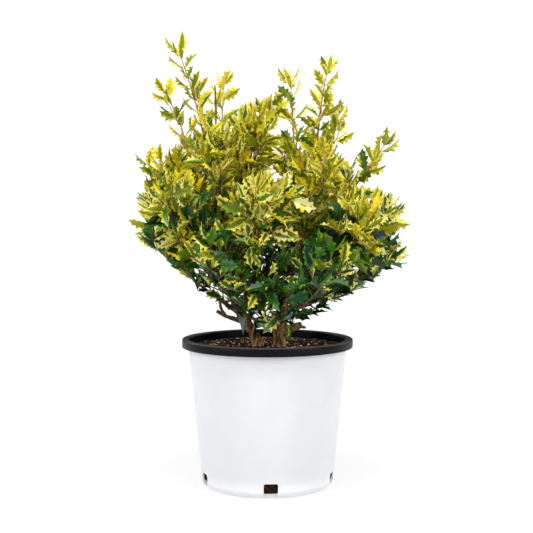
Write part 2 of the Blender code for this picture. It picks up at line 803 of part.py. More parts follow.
def build_plant(collection):
    bark = material("bark", (0.165, 0.105, 0.055), 0.85)
    foliage = {
        "low": material("leaf_green", (0.045, 0.130, 0.040), 0.40),
        "mid": material("leaf_cream", (0.36, 0.40, 0.10), 0.42),
        "high": material("leaf_yellow", (0.47, 0.47, 0.07), 0.42),
        "shoot": material("leaf_gold", (0.55, 0.50, 0.06), 0.42),
    }
    left = build_stem("left_stem", LEFT_STEM, bark, collection)
    right = build_stem("right_stem", RIGHT_STEM, bark, collection)
    stems = {"left": left, "right": right}
    dead = build_pruned_wood("dead_branch", DEAD_BRANCH, DEAD_PRONG, left, bark, collection)
    stub = build_pruned_wood("cut_stub", CUT_STUB, CUT_SHOOT, right, bark, collection)
    bare = build_bare_twig(left, bark, collection)
    masses = plan_masses(stems)
    boughs = build_boughs(masses, stems, bark, collection)
    space = Space(masses, [left, right, *dead, *stub, bare, *boughs])
    for mass in masses:
        build_mass(mass, space, foliage[mass.tier_name], collection)


def main():
    clear_scene()
    plant = new_collection("potted_osmanthus")
    cutters = new_collection("cutters")
    cutters.hide_render = True
    build_pot(plant, cutters)
    build_plant(plant)


main()
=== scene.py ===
"""The looks of a variegated holly-leaved osmanthus in a white nursery pot, made round its solids.

Metres, +Z up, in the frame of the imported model. The stems, the boughs and the places of the
foliage masses follow from the solids' seeded rule and, but for the high ring's tips, from their
values. Here each mass is carried on to finer twigs and to spiny leaves of their real size.
"""

import math
import random
from collections import namedtuple

import bmesh
import bpy
import numpy as np
from mathutils import Matrix, Vector, noise

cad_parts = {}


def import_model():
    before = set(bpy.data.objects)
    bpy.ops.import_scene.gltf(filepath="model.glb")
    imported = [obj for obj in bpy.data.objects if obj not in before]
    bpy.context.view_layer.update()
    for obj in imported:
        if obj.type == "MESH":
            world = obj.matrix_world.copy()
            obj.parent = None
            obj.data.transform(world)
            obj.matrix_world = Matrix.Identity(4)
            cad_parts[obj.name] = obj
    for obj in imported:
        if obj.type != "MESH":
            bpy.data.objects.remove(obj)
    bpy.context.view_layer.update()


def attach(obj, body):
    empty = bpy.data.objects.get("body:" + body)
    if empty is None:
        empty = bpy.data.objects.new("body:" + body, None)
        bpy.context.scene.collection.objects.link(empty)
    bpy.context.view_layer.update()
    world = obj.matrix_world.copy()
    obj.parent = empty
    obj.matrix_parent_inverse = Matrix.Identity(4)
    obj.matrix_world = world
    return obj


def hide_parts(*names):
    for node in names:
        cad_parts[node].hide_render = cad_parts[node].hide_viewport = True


UP = Vector((0, 0, 1))
GAP = 0.0003

# The pot: a tapering white wall with a faint step low on it, under a black rim
POT_HEIGHT = 0.241
RIM_RADIUS = 0.1402
RIM_INNER_RADIUS = 0.1272
RIM_DEPTH = 0.0133
RIM_ROUND = 0.0022
RIM_LOW_BEVEL = 0.0010
WALL_TOP_RADIUS = 0.1297
WALL_LOW_RADIUS = 0.1087
WALL_THICKNESS = 0.0024
FOOT_RADIUS = 0.0985
FOOT_HEIGHT = 0.0130
STEP_HEIGHT = 0.0290
STEP_SIZE = 0.0005
STEP_BLEND = 0.0012
FOOT_ROWS = 10
FLOOR_THICKNESS = 0.0032
TURN_STEPS = 160
WELD = 0.00005
HOLE_COUNT = 5
HOLE_WIDTH = 0.0225
HOLE_HEIGHT = 0.0250
HOLE_DEPTH = 0.0180
HOLE_MIDDLE = 0.1097
HOLE_TURN = math.radians(-90 + 2.8)
HOLE_ROUND = 0.003

# The potting mix, level as far out as MIX_FLAT, and the chips of bark and grit that lie on it
MIX_TOP = 0.2280
MIX_EDGE_DIP = 0.0009
MIX_EDGE_WIDTH = 0.0150
MIX_GAP = 0.0007
MIX_FLAT = 0.110
MIX_ROUGH = 0.0016
MIX_ROWS = 44
MIX_LUMP, MIX_CRUMB = 160, 480
CHIP_COUNT = 2800
CHIP_SIZES = (0.0010, 0.0034)
CHIP_EDGE = 0.0018
CHIP_TILT = 0.6
CHIP_UNEVEN = 0.22
CHIP_SEED = 31
CHIP_COLOURS = {"22140B": 26, "402817": 28, "664428": 20, "94704A": 12, "C4AA84": 9, "E4DDCF": 5}

# Stations up each stem: x, y, height above the potting mix, radius
LEFT_STEM = (
    (-0.0154, 0.000, -0.006, 0.0112),
    (-0.0156, 0.000, 0.003, 0.0096),
    (-0.0235, 0.002, 0.021, 0.0078),
    (-0.0360, 0.004, 0.041, 0.0088),
    (-0.0530, 0.008, 0.072, 0.0080),
    (-0.0700, 0.010, 0.120, 0.0066),
    (-0.0840, 0.006, 0.190, 0.0052),
    (-0.0890, 0.000, 0.245, 0.0040),
)
RIGHT_STEM = (
    (0.0198, 0.000, -0.006, 0.0128),
    (0.0198, 0.000, 0.003, 0.0112),
    (0.0188, -0.001, 0.022, 0.0096),
    (0.0205, -0.002, 0.042, 0.0108),
    (0.0270, -0.002, 0.075, 0.0080),
    (0.0420, 0.002, 0.125, 0.0066),
    (0.0590, 0.004, 0.190, 0.0052),
    (0.0700, 0.004, 0.245, 0.0040),
)
DEAD_BRANCH = (
    (-0.0330, 0.003, 0.036, 0.0042),
    (-0.0520, -0.004, 0.044, 0.0036),
    (-0.0690, -0.007, 0.050, 0.0032),
    (-0.0830, -0.008, 0.058, 0.0030),
)
DEAD_PRONG = (
    (-0.0670, -0.007, 0.049, 0.0026),
    (-0.0755, -0.008, 0.062, 0.0023),
    (-0.0785, -0.006, 0.078, 0.0018),
)
CUT_STUB = (
    (0.0200, -0.002, 0.022, 0.0086),
    (0.0380, -0.006, 0.029, 0.0070),
    (0.0500, -0.008, 0.034, 0.0062),
    (0.0565, -0.009, 0.036, 0.0046),
)
CUT_SHOOT = (
    (0.0500, -0.008, 0.034, 0.0036),
    (0.0580, -0.009, 0.032, 0.0026),
    (0.0625, -0.010, 0.031, 0.0018),
)
BARE_TWIG = (
    (-0.0880, 0.000, 0.232, 0.0022),
    (-0.0800, -0.006, 0.275, 0.0019),
    (-0.0850, -0.010, 0.330, 0.0016),
    (-0.0830, -0.012, 0.380, 0.0014),
    (-0.0850, -0.012, 0.425, 0.0010),
)
LIMB_STEPS, SMALL_STEPS, COARSE_STEPS = 10, 6, 2
LIMB_SIDES, BOUGH_ROWS = 8, 14

# Wood: its colours, each with the noise value where it begins, and how often its cracks, the ridges
# between them and its lumps come in a metre
WOODS = {
    "trunk_bark": ((0.32, "24170C"), (0.46, "6A4B26"), (0.58, "9A743E"), (0.74, "C29C62")),
    "bough_bark": ((0.30, "33261A"), (0.50, "5F4A33"), (0.70, "86704F"), (0.85, "A08A66")),
    "dead_bark": ((0.30, "2C1F12"), (0.46, "5A4024"), (0.62, "80603A"), (0.78, "9C7C52")),
    "young_bark": ((0.30, "8A5E28"), (0.50, "B08440"), (0.70, "C69C54"), (0.85, "D8B678")),
    # Young wood of the lower tiers: darker than young_bark, as painted shade of the crown's inside
    "inner_bark": ((0.30, "3C2A16"), (0.50, "5E4822"), (0.70, "7E6434"), (0.85, "9A8250")),
    "older_bark": ((0.30, "3E2E1E"), (0.50, "66503A"), (0.70, "8A7454"), (0.85, "A49070")),
}
CRACK = (420, 420, 70)
RIDGE = (900, 900, 190)
LUMP = 75

# How high the relief and the knots stand on each kind of limb
TRUNK_RELIEF = (0.0006, 0.0014)
DEAD_RELIEF = (0.0004, 0.0006)
STUB_RELIEF = (0.0005, 0.0010)
LEADER_RELIEF = (0.0002, 0.0003)
BOUGH_RELIEF = (0.0003, 0.0005)

# The crown's tiers. leave, step, foot, thick, reach and past: as in the solids. twigs: side twigs of
# a mass. leaf: length of a leaf. pitch: from one pair to the next. bare: share of a side twig
# without leaves. lift: how far its twigs bend up. angle: of a leaf to its twig, at the twig's foot.
# tip: what its own stem grows on past the solid's tip.
Tier = namedtuple("Tier", "leave step foot thick reach past twigs leaf pitch bare lift angle tip")
TIERS = {
    "low": Tier(0.036, 0.011, 0.30, 0.0042, 0.090, 0.056, 12, 0.043, 0.020, 0.15, 0.4, 62, 0.030),
    "mid": Tier(0.066, 0.013, 0.42, 0.0046, 0.090, 0.060, 11, 0.039, 0.018, 0.15, 0.8, 60, 0.020),
    "high": Tier(0.118, 0.018, 0.40, 0.0040, 0.085, 0.056, 7, 0.036, 0.019, 0.15, 1.2, 56, 0.012),
    "shoot": Tier(0.166, 0.014, 0.40, 0.0034, 0.050, 0.042, 3, 0.037, 0.0190, 0.15, 1.6, 46, 0.010),
}

# The rings of masses that make the dome: tier, how many, azimuth of the first from +X in degrees,
# distance of the tips from the crown's axis, their height, and how much both vary. The high ring's
# tips lie 6 mm further out and lower than in the solids. The crown leans: its rings and its lower
# edge lie higher on the left, by this share of the way.
RINGS = (
    ("low", 6, -60, 0.172, 0.380, 0.008),
    ("mid", 7, 12, 0.180, 0.454, 0.010),
    ("high", 4, 45, 0.110, 0.534, 0.012),
)
CROWN_AXIS = Vector((0.004, 0.0, 0.0))
CROWN_LEAN = 0.09
SIDES = ("right", "back_right", "back", "back_left", "left", "front_left", "front", "front_right")

# The masses outside the rings, with name, tier, stem and tip, and those that stand on a stem's tip
SINGLES = (
    ("high_left", "high", "left", (-0.166, -0.020, 0.520)),
    ("shoot_right_outer", "shoot", "right", (0.181, -0.030, 0.546)),
    ("shoot_left_top", "shoot", "left", (-0.138, -0.020, 0.694)),
    ("shoot_left_outer", "shoot", "left", (-0.168, 0.055, 0.640)),
    ("shoot_left_inner", "shoot", "left", (-0.076, 0.100, 0.657)),
    ("high_front", "high", "left", (-0.014, -0.088, 0.588)),
    ("shoot_right_inner", "shoot", "right", (0.040, 0.085, 0.658)),
    ("shoot_right_top", "shoot", "right", (0.094, -0.030, 0.665)),
    ("shoot_right", "shoot", "right", (0.119, 0.070, 0.604)),
    ("low_front", "low", "left", (0.002, -0.112, 0.362)),
)
ON_STEM = ("shoot_left_top", "shoot_right_top")
SLOTS = {"low": "leaf_green", "mid": "leaf_cream", "high": "leaf_yellow", "shoot": "leaf_gold"}

# Masses with fewer side twigs than their tier's, and masses that lean further out at their tips
SPARSE = {"high_left": 0.55}
LEANING = {"shoot_left_outer": 2.0, "shoot_right_outer": 1.5}

# How a bough and its stem curve: their headings and handles at the start and at the tip, and how
# fast they thin
LEAVE_OUT, LEAVE_UP, LEAVE_RISE, LEAVE_HANDLE = 1.0, 0.20, 0.90, 0.34
ARRIVE_OUT, ARRIVE_UP, ARRIVE_RISE, ARRIVE_HANDLE = 0.45, 0.25, 1.0, 0.36
TAPER = 0.8

# The crown's lower limit: a bowl that rises with the distance from the axis and leans to the left,
# and a skirt that hangs lower in front of and behind the stems
CROWN_LOW = 0.282
CROWN_LOW_WIDTH = 0.075
CROWN_LOW_SLOPE = 0.78
CROWN_LOW_TOP = 0.374
SKIRT_LOW = 0.254
SKIRT_WIDTH = 0.042

# How far a twig keeps from half way to the next mass, and a leaf from a limb
SPACE_MARGIN = 0.0004
LIMB_MARGIN = 0.0010

# Side twigs, and the finer ones on them. hang: how far the low boughs' own twigs turn down
GOLDEN_ANGLE = math.radians(137.5)
TWIG_TIP_RADIUS = 0.0008
FIRST_TWIG, TWIG_SPREAD, TWIG_JITTER = 0.10, 0.80, 0.2
TWIG_ALONG, TWIG_OUT, TWIG_UP = 0.62, 0.85, 0.22
TWIG_LENGTH = (0.52, 0.82)
TWIG_LONGEST, TWIG_SHORTER_UP = 1.15, 0.35
TWIG_RADIUS, TWIG_SHARE, FINE_SHARE = 0.0017, 0.8, 0.7
NEARBY = 0.02
SHORTEST_TWIG = 0.014
TWIG_CUT = 0.85
TWIG_STEPS = 5
STEM_ROWS, SPACE_ROWS = 14, 8
BOUGH_BARE = 0.30
BOUGH_TWIGS = 5
BOUGH_TWIG_LENGTH = (0.040, 0.070)
HANG = 0.45
FINE_FROM = 0.045
FINE_PLACES = (0.30, 0.52, 0.74)
FINE_LENGTH = (0.40, 0.62)

# Twigs whose foot is thinner than this are young wood, which is orange-tan in the sunny tiers and
# darker in the others, where the crown's inner shade is painted into it
YOUNG_UNDER = {"low": 0.0015, "mid": 0.0015, "high": 0.0015, "shoot": 0.0040}
SUNNY_TIERS = ("high", "shoot")

# Where leaves sit on a twig, in pairs that crowd towards its tip and lie closer to it there
FIRST_PAIR, LAST_PAIR = 0.010, 0.0008
STEM_BARE = 0.12
PAIR_TWIST = 0.2
CROWDING = 1.2
YOUNG_END = 0.10
TIP_ANGLE = 34
ANGLE_VARY = (0.80, 1.20)
LENGTH_VARY = (0.82, 1.12)
TIP_PAIR_LENGTH = 0.85

# Blades turn this share of the way to the light, which comes from above and, for each metre from
# the crown's axis, this much more from the side
TURN_TO_LIGHT = 0.55
SIDE_LIGHT = 5.0

# How far apart leaves stay, measured at these shares of their length, and what a leaf tries in turn
# where it doesn't fit: a turn about its twig and a shorter blade
LEAF_APART = 0.0062
LEAF_SPOTS = (0.35, 0.62, 0.90)
TRIES = ((0, 1), (0.35, 0.92), (-0.35, 0.92), (0.7, 0.84), (-0.7, 0.84), (0.2, 0.75), (-0.2, 0.75))

# The shape of a leaf of unit length: its stalk, its blade, and how far it varies from leaf to leaf
LEAF_SHAPES, SHAPE_SEED = 20, 7
STALK = 0.08
STALK_WIDTH, APEX_WIDTH = 0.016, 0.006
LEAF_WIDTH = 0.44
LEAF_THICKNESS = 0.012
SINUS = 0.60
FOLD, DROOP, SWAY = (0.30, 0.80), (0.06, 0.34), (-0.06, 0.06)
WIDE, SPINE, UNEVEN = (0.92, 1.18), (1.0, 1.25), (0.92, 1.08)
SPINE_FORWARD = 0.045
SPINE_CURLS = (-0.035, 0.010, 0.045)
COLUMNS = (-1, -0.76, -0.46, 0, 0.46, 0.76, 1)
STATIONS = (
    (0.00, "stalk"),
    (0.08, "stalk"),
    (0.17, "sinus"),
    (0.28, "tooth"),
    (0.39, "sinus"),
    (0.51, "tooth"),
    (0.62, "sinus"),
    (0.74, "tooth"),
    (0.85, "sinus"),
    (1.00, "apex"),
)

# Leaf colours in sRGB, their roughness and their specular level
LEAF_COLOURS = {
    "cream_pale": ("F4ECA0", 0.45, 0.20),
    "cream": ("EEDF70", 0.45, 0.20),
    "yellow": ("ECD636", 0.42, 0.20),
    "gold": ("E2C814", 0.42, 0.20),
    "lime": ("BEB81A", 0.40, 0.25),
    "olive_light": ("949C16", 0.40, 0.25),
    "olive": ("68780E", 0.38, 0.30),
    "green_light": ("729A20", 0.38, 0.35),
    "green_mid": ("427818", 0.35, 0.45),
    "green_dark": ("235A12", 0.30, 0.48),
    # Near-black green for the crown's inside leaves: their own deep green with painted shade
    "green_deep": ("10300A", 0.28, 0.42),
    # A bluish green that paints the bluish sheen of the glossy lower leaves
    "green_blue": ("245430", 0.26, 0.50),
}

# The share of a zone's faces that take the leaf's own leading colour for that zone, and of its rows
# whose margin has the leaf's usual width
LEAD_SHARE = 0.90
USUAL_SHARE = 0.6

# What a leaf's margin and its centre are coloured with, by weight, and how many columns of faces
# the margin takes of each row's half, from none to all three, by weight
Kind = namedtuple("Kind", "margin centre columns")
KINDS = {
    "gold": Kind(
        {"gold": 4, "yellow": 7, "cream": 2},
        {"lime": 6, "olive_light": 5, "gold": 1},
        (1, 4, 4, 1),
    ),
    "lime": Kind(
        {"yellow": 5, "lime": 2, "cream": 5},
        {"olive_light": 6, "olive": 5, "lime": 1},
        (2, 5, 2, 0),
    ),
    "cream": Kind(
        {"cream": 7, "cream_pale": 3, "yellow": 4},
        {"green_mid": 4, "olive_light": 3, "green_light": 3, "green_dark": 2, "lime": 2},
        (0, 5, 5, 1),
    ),
    "olive": Kind(
        {"cream": 4, "lime": 3, "yellow": 3},
        {"olive": 4, "green_mid": 4, "olive_light": 3},
        (3, 5, 1, 0),
    ),
    "green": Kind(
        {"cream": 4, "green_light": 3, "green_mid": 2},
        {"green_dark": 5, "green_mid": 4, "olive": 2},
        (4, 4, 1, 0),
    ),
    # The crown's inside leaves: their own deep green, darkened further as painted shade
    "dark": Kind(
        {"green_dark": 4, "green_mid": 3, "green_blue": 2},
        {"green_deep": 6, "green_dark": 4, "green_blue": 1},
        (5, 3, 1, 0),
    ),
}

# The kinds of leaf in each tier, by weight: on the outside of the crown at a twig's tip, and inside.
# The inside kinds are darker, partly from the older leaves' own deeper green and partly as painted
# shade of the crown's inside
MIXES = {
    "shoot": ({"gold": 3, "lime": 8, "cream": 1, "olive": 2}, {"lime": 4, "olive": 8, "cream": 1}),
    "high": ({"gold": 4, "cream": 4, "lime": 8}, {"lime": 3, "olive": 7, "cream": 2, "green": 4}),
    "mid": ({"cream": 9, "gold": 2, "lime": 4}, {"olive": 2, "green": 4, "dark": 9}),
    "low": ({"green": 9, "cream": 2, "olive": 1, "dark": 3}, {"dark": 8, "green": 4}),
}

# On the crown's left side more leaves are olive with thin margins, in place of cream ones
OLIVE_SIDE = -0.045
OLIVE_SHARE = 0.55

# The crown's own shape for colour: its middle, its half sizes, and the depths where the bright
# leaves of the outside begin and are all there; the same for how near a twig's tip a leaf is, and
# for its height above the low tier; and how far the leaves of a spray differ in kind
CROWN_MIDDLE = (0.012, 0.0, 0.370)
CROWN_HALF = (0.225, 0.215, 0.200)
BRIGHT_FROM, BRIGHT_TO = 0.55, 0.90
YOUTH_FROM, YOUTH_TO = 0.35, 0.80
YOUTH_LEAST = 0.22
HEIGHT_FROM, HEIGHT_TO = 0.34, 0.48
HEIGHT_LEAST = 0.40
SPRAY_VARY = 0.10

# The camera, where the photograph was taken from
CAMERA_PLACE = (-0.00155, -1.80, 0.4551)
CAMERA_TILT = math.radians(90 - 3.06)
CAMERA_LENS = 74.22
SENSOR = 36.0

# The studio: how bright its air, its white walls and the floor's own glow are, its overhead light,
# and its fill lights: the turn from the camera's side and the rise in degrees, and the strength
AIR = 0.03
WALL_GLOW = 1.05
FLOOR_GLOW = 0.85
KEY_STRENGTH = 3.2
KEY_WIDTH = math.radians(25)
KEY_PLACE = (0.0, -0.30, 1.0)
FILL_WIDTH = math.radians(45)
FILLS = ((-54, 22, 2.1), (54, 22, 2.1), (-130, 32, 1.2), (130, 32, 1.2))
FLOOR_COLOUR, WALL_COLOUR = "505050", "202020"
STUDIO_RADIUS = 30.0
STUDIO_SIDES = 96
WALL_HEIGHT = 7.5


def linear(code):
    """A linear colour with alpha from an sRGB hex code."""
    parts = [int(code[i : i + 2], 16) / 255 for i in (0, 2, 4)]
    return (*(p / 12.92 if p <= 0.04045 else ((p + 0.055) / 1.055) ** 2.4 for p in parts), 1.0)


def new_material(name, code, roughness):
    """A Principled material, its node tree and its shader."""
    made = bpy.data.materials.new(name)
    made.use_nodes = True
    shader = made.node_tree.nodes["Principled BSDF"]
    shader.inputs["Base Color"].default_value = linear(code)
    shader.inputs["Roughness"].default_value = roughness
    return made, made.node_tree, shader


def noise_texture(tree, scale, detail, stretch=(1, 1, 1)):
    """A noise texture in the object's own coordinates, stretched along the axes."""
    place = tree.nodes.new("ShaderNodeTexCoord")
    mapping = tree.nodes.new("ShaderNodeMapping")
    mapping.inputs["Scale"].default_value = stretch
    texture = tree.nodes.new("ShaderNodeTexNoise")
    texture.inputs["Scale"].default_value = scale
    texture.inputs["Detail"].default_value = detail
    tree.links.new(place.outputs["Object"], mapping.inputs["Vector"])
    tree.links.new(mapping.outputs["Vector"], texture.inputs["Vector"])
    return texture.outputs["Fac"]


def colour_ramp(tree, factor, stops):
    """Colours from (position, sRGB code) stops."""
    ramp = tree.nodes.new("ShaderNodeValToRGB")
    elements = ramp.color_ramp.elements
    while len(elements) < len(stops):
        elements.new(0.5)
    for element, (position, code) in zip(elements, stops, strict=True):
        element.position = position
        element.color = linear(code)
    tree.links.new(factor, ramp.inputs["Fac"])
    return ramp.outputs["Color"]


def add_bump(tree, shader, height, strength, distance):
    bump = tree.nodes.new("ShaderNodeBump")
    bump.inputs["Strength"].default_value = strength
    bump.inputs["Distance"].default_value = distance
    tree.links.new(height, bump.inputs["Height"])
    tree.links.new(bump.outputs["Normal"], shader.inputs["Normal"])


def pot_white():
    """Satin white plastic, hardly mottled, with a very fine moulded grain."""
    made, tree, shader = new_material("pot_white", "E3E4E7", 0.45)
    stops = ((0.3, "E0E1E4"), (0.7, "E4E5E8"))
    colour = colour_ramp(tree, noise_texture(tree, 26, 3), stops)
    tree.links.new(colour, shader.inputs["Base Color"])
    add_bump(tree, shader, noise_texture(tree, 900, 2), 0.06, 0.0004)
    return made


def rim_black():
    """Semi-gloss black plastic with a fine grain, and a painted highlight: paler grey where it faces
    up.
    """
    made, tree, shader = new_material("rim_black", "0D0D0F", 0.42)
    shader.inputs["Specular IOR Level"].default_value = 0.12
    # Painted highlight: faces that point up ramp from black to pale grey, for the light on the rim's
    # top
    face = tree.nodes.new("ShaderNodeNewGeometry")
    parts = tree.nodes.new("ShaderNodeSeparateXYZ")
    tree.links.new(face.outputs["Normal"], parts.inputs["Vector"])
    colour = colour_ramp(tree, parts.outputs["Z"], ((0.45, "0B0B0E"), (0.98, "4E4E53")))
    tree.links.new(colour, shader.inputs["Base Color"])
    add_bump(tree, shader, noise_texture(tree, 1200, 2), 0.10, 0.0004)
    return made


def mix_brown():
    """Damp dark peat and bark fines."""
    made, tree, shader = new_material("mix_brown", "2B1B10", 0.95)
    shader.inputs["Specular IOR Level"].default_value = 0.10
    stops = ((0.30, "0D0704"), (0.50, "20130A"), (0.62, "342012"), (0.75, "5E4028"))
    colour = colour_ramp(tree, noise_texture(tree, 420, 6), stops)
    tree.links.new(colour, shader.inputs["Base Color"])
    add_bump(tree, shader, noise_texture(tree, 700, 5), 0.8, 0.002)
    return made


def bark(name, stops, stretch=(1, 1, 0.25)):
    """Rough bark, its colour and its cracks running up the limb."""
    made, tree, shader = new_material(name, stops[1][1], 0.85)
    colour = colour_ramp(tree, noise_texture(tree, 240, 6, stretch), stops)
    tree.links.new(colour, shader.inputs["Base Color"])
    add_bump(tree, shader, noise_texture(tree, 520, 5, stretch), 0.55, 0.0012)
    return made


def leaf_materials():
    """One plain material for each leaf colour."""
    made = {}
    for name, (code, roughness, gloss) in LEAF_COLOURS.items():
        made[name], _, shader = new_material("leaf_" + name, code, roughness)
        shader.inputs["Specular IOR Level"].default_value = gloss
    return made


def add_object(name, mesh, materials=()):
    for finish in materials:
        mesh.materials.append(finish)
    obj = bpy.data.objects.new(name, mesh)
    bpy.context.scene.collection.objects.link(obj)
    return obj


def evaluated_mesh(obj):
    """A copy of the object's mesh with its modifiers applied."""
    bpy.context.view_layer.update()
    graph = bpy.context.evaluated_depsgraph_get()
    return bpy.data.meshes.new_from_object(obj.evaluated_get(graph))


def settle(piece, slot, *nodes):
    """Rides the piece on the body and lets it stand for its nodes. The slot is not used."""
    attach(piece, "root")
    if nodes:
        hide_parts(*nodes)
    return piece


def turned_mesh(profile, steps=TURN_STEPS):
    """A closed mesh turned about Z, from (radius, height) points that run down the outer side."""
    points = [(radius, 0.0, height) for radius, height in profile]
    edges = [(i, i + 1) for i in range(len(points) - 1)]
    if profile[0][0] and profile[-1][0]:
        edges.append((len(points) - 1, 0))
    mesh = bpy.data.meshes.new("profile")
    mesh.from_pydata(points, edges, [])
    obj = add_object("profile", mesh)
    screw = obj.modifiers.new("Turn", "SCREW")
    screw.steps = screw.render_steps = steps
    screw.use_merge_vertices = True
    screw.merge_threshold = WELD
    made = evaluated_mesh(obj)
    bpy.data.objects.remove(obj)
    bpy.data.meshes.remove(mesh)
    return made


def arc(centre, radius, start, end, steps):
    """Points (radius, height) along a circular arc of a profile, its angles in degrees."""
    turns = (math.radians(start + (end - start) * i / steps) for i in range(steps + 1))
    return [(centre[0] + radius * math.cos(a), centre[1] + radius * math.sin(a)) for a in turns]


def wall_radius(height):
    """The pot's outer radius at a height above its rounded foot."""
    top = POT_HEIGHT - RIM_DEPTH - GAP
    share = (height - FOOT_HEIGHT) / (top - FOOT_HEIGHT)
    return WALL_LOW_RADIUS + (WALL_TOP_RADIUS - WALL_LOW_RADIUS) * share


def shade(mesh, angle):
    """Smooth shading with a hard edge where faces meet at more than an angle in degrees."""
    mesh.shade_smooth()
    mesh.set_sharp_from_angle(angle=math.radians(angle))


def build_wall(finish):
    """The pot's wall with its faint step and its drain holes."""
    top = POT_HEIGHT - RIM_DEPTH - GAP
    foot_width = WALL_LOW_RADIUS - FOOT_RADIUS
    turns = [math.radians(90 * (1 - i / (FOOT_ROWS - 1))) for i in range(FOOT_ROWS)]
    foot = [(FOOT_RADIUS + foot_width * math.sin(a), FOOT_HEIGHT * (1 - math.cos(a))) for a in turns]
    below = wall_radius(STEP_HEIGHT) - STEP_SIZE
    profile = [
        (0.0, FLOOR_THICKNESS),
        (FOOT_RADIUS - WALL_THICKNESS, FLOOR_THICKNESS),
        (WALL_LOW_RADIUS - WALL_THICKNESS, FOOT_HEIGHT),
        (WALL_TOP_RADIUS - WALL_THICKNESS, top),
        (WALL_TOP_RADIUS, top),
        (wall_radius(STEP_HEIGHT + STEP_BLEND), STEP_HEIGHT + STEP_BLEND),
        (below, STEP_HEIGHT),
        (WALL_LOW_RADIUS - STEP_SIZE, FOOT_HEIGHT + 0.001),
        *foot[1:],
        (0.0, 0.0),
    ]
    wall = add_object("nursery_pot", turned_mesh(profile), [finish])
    cutters = []
    for i in range(HOLE_COUNT):
        turn = HOLE_TURN + math.tau * i / HOLE_COUNT
        mesh = bpy.data.meshes.new("cutter")
        bm = bmesh.new()
        bmesh.ops.create_cube(bm, size=1.0)
        bmesh.ops.scale(bm, verts=bm.verts, vec=(HOLE_DEPTH, HOLE_WIDTH, 2 * HOLE_HEIGHT))
        uprights = [edge for edge in bm.edges if all(v.co.z > 0 for v in edge.verts)]
        uprights = [edge for edge in uprights if abs(edge.verts[0].co.y - edge.verts[1].co.y) < 1e-6]
        bmesh.ops.bevel(bm, geom=uprights, offset=HOLE_ROUND, segments=4, affect="EDGES", profile=0.5)
        bm.to_mesh(mesh)
        bm.free()
        cutter = add_object("cutter", mesh)
        cutter.rotation_euler = (0, 0, turn)
        cutter.location = (HOLE_MIDDLE * math.cos(turn), HOLE_MIDDLE * math.sin(turn), 0.0)
        cut = wall.modifiers.new("Hole", "BOOLEAN")
        cut.operation = "DIFFERENCE"
        cut.object = cutter
        cutters.append(cutter)
    mesh = evaluated_mesh(wall)
    wall.modifiers.clear()
    wall.data = mesh
    for cutter in cutters:
        bpy.data.objects.remove(cutter)
    shade(mesh, 32)
    settle(wall, "pot_white", "pot_wall")


def build_rim(finish):
    low = POT_HEIGHT - RIM_DEPTH
    high = POT_HEIGHT - RIM_ROUND
    profile = [
        *arc((RIM_INNER_RADIUS + RIM_ROUND, high), RIM_ROUND, 180, 90, 6),
        *arc((RIM_RADIUS - RIM_ROUND, high), RIM_ROUND, 90, 0, 6),
        *arc((RIM_RADIUS - RIM_LOW_BEVEL, low + RIM_LOW_BEVEL), RIM_LOW_BEVEL, 0, -90, 3),
        (RIM_INNER_RADIUS, low),
    ]
    rim = add_object("black_rim", turned_mesh(profile), [finish])
    shade(rim.data, 40)
    settle(rim, "rim_black", "pot_rim")


def build_mix(finish):
    """The potting mix, its top broken up into crumbs."""
    inside = WALL_THICKNESS + MIX_GAP
    flat = wall_radius(MIX_TOP) - inside - MIX_EDGE_WIDTH
    profile = [
        *((flat * i / MIX_ROWS, MIX_TOP) for i in range(MIX_ROWS + 1)),
        (wall_radius(MIX_TOP) - inside - MIX_EDGE_WIDTH / 2, MIX_TOP - MIX_EDGE_DIP / 2),
        (wall_radius(MIX_TOP) - inside, MIX_TOP - MIX_EDGE_DIP),
        (wall_radius(FOOT_HEIGHT) - inside, FOOT_HEIGHT),
        (FOOT_RADIUS - WALL_THICKNESS - MIX_GAP, FLOOR_THICKNESS + GAP),
        (0.0, FLOOR_THICKNESS + GAP),
    ]
    mesh = turned_mesh(profile)
    for vert in mesh.vertices:
        if vert.co.z > MIX_TOP - MIX_EDGE_DIP / 1.5:
            lump = noise.noise(vert.co * MIX_LUMP) + 0.6 * noise.noise(vert.co * MIX_CRUMB)
            vert.co.z += MIX_ROUGH * lump
    mix = add_object("bark_mix", mesh, [finish])
    shade(mesh, 60)
    settle(mix, "potting_mix", "potting_mix")


def build_chips():
    """Chips of bark and specks of grit, scattered over the potting mix."""
    finishes = []
    for i, code in enumerate(CHIP_COLOURS):
        made, _, shader = new_material(f"chip_{i + 1}", code, 0.9)
        shader.inputs["Specular IOR Level"].default_value = 0.10
        finishes.append(made)
    rng = random.Random(CHIP_SEED)
    bm = bmesh.new()
    for _ in range(CHIP_COUNT):
        away = (wall_radius(MIX_TOP) - WALL_THICKNESS - CHIP_EDGE) * math.sqrt(rng.random())
        turn = rng.uniform(0, math.tau)
        size = rng.uniform(*CHIP_SIZES) * rng.uniform(0.6, 1.0)
        drop = MIX_EDGE_DIP * max(0.0, away - MIX_FLAT) / MIX_EDGE_WIDTH
        place = Vector((away * math.cos(turn), away * math.sin(turn), MIX_TOP - drop))
        place.z += size * 0.1
        spin = Matrix.Rotation(rng.uniform(0, math.tau), 4, "Z")
        spin @= Matrix.Rotation(rng.uniform(-CHIP_TILT, CHIP_TILT), 4, "X")
        scale = Matrix.Diagonal((size * rng.uniform(0.8, 1.7), size, size * rng.uniform(0.3, 0.7), 1))
        made = bmesh.ops.create_cube(bm, size=1.0, matrix=Matrix.Translation(place) @ spin @ scale)
        index = rng.choices(range(len(finishes)), list(CHIP_COLOURS.values()))[0]
        for vert in made["verts"]:
            vert.co += Vector([rng.uniform(-CHIP_UNEVEN, CHIP_UNEVEN) * size for _ in range(3)])
            for face in vert.link_faces:
                face.material_index = index
    mesh = bpy.data.meshes.new("mix_chips")
    bm.to_mesh(mesh)
    bm.free()
    settle(add_object("mix_chips", mesh, finishes), "potting_mix")


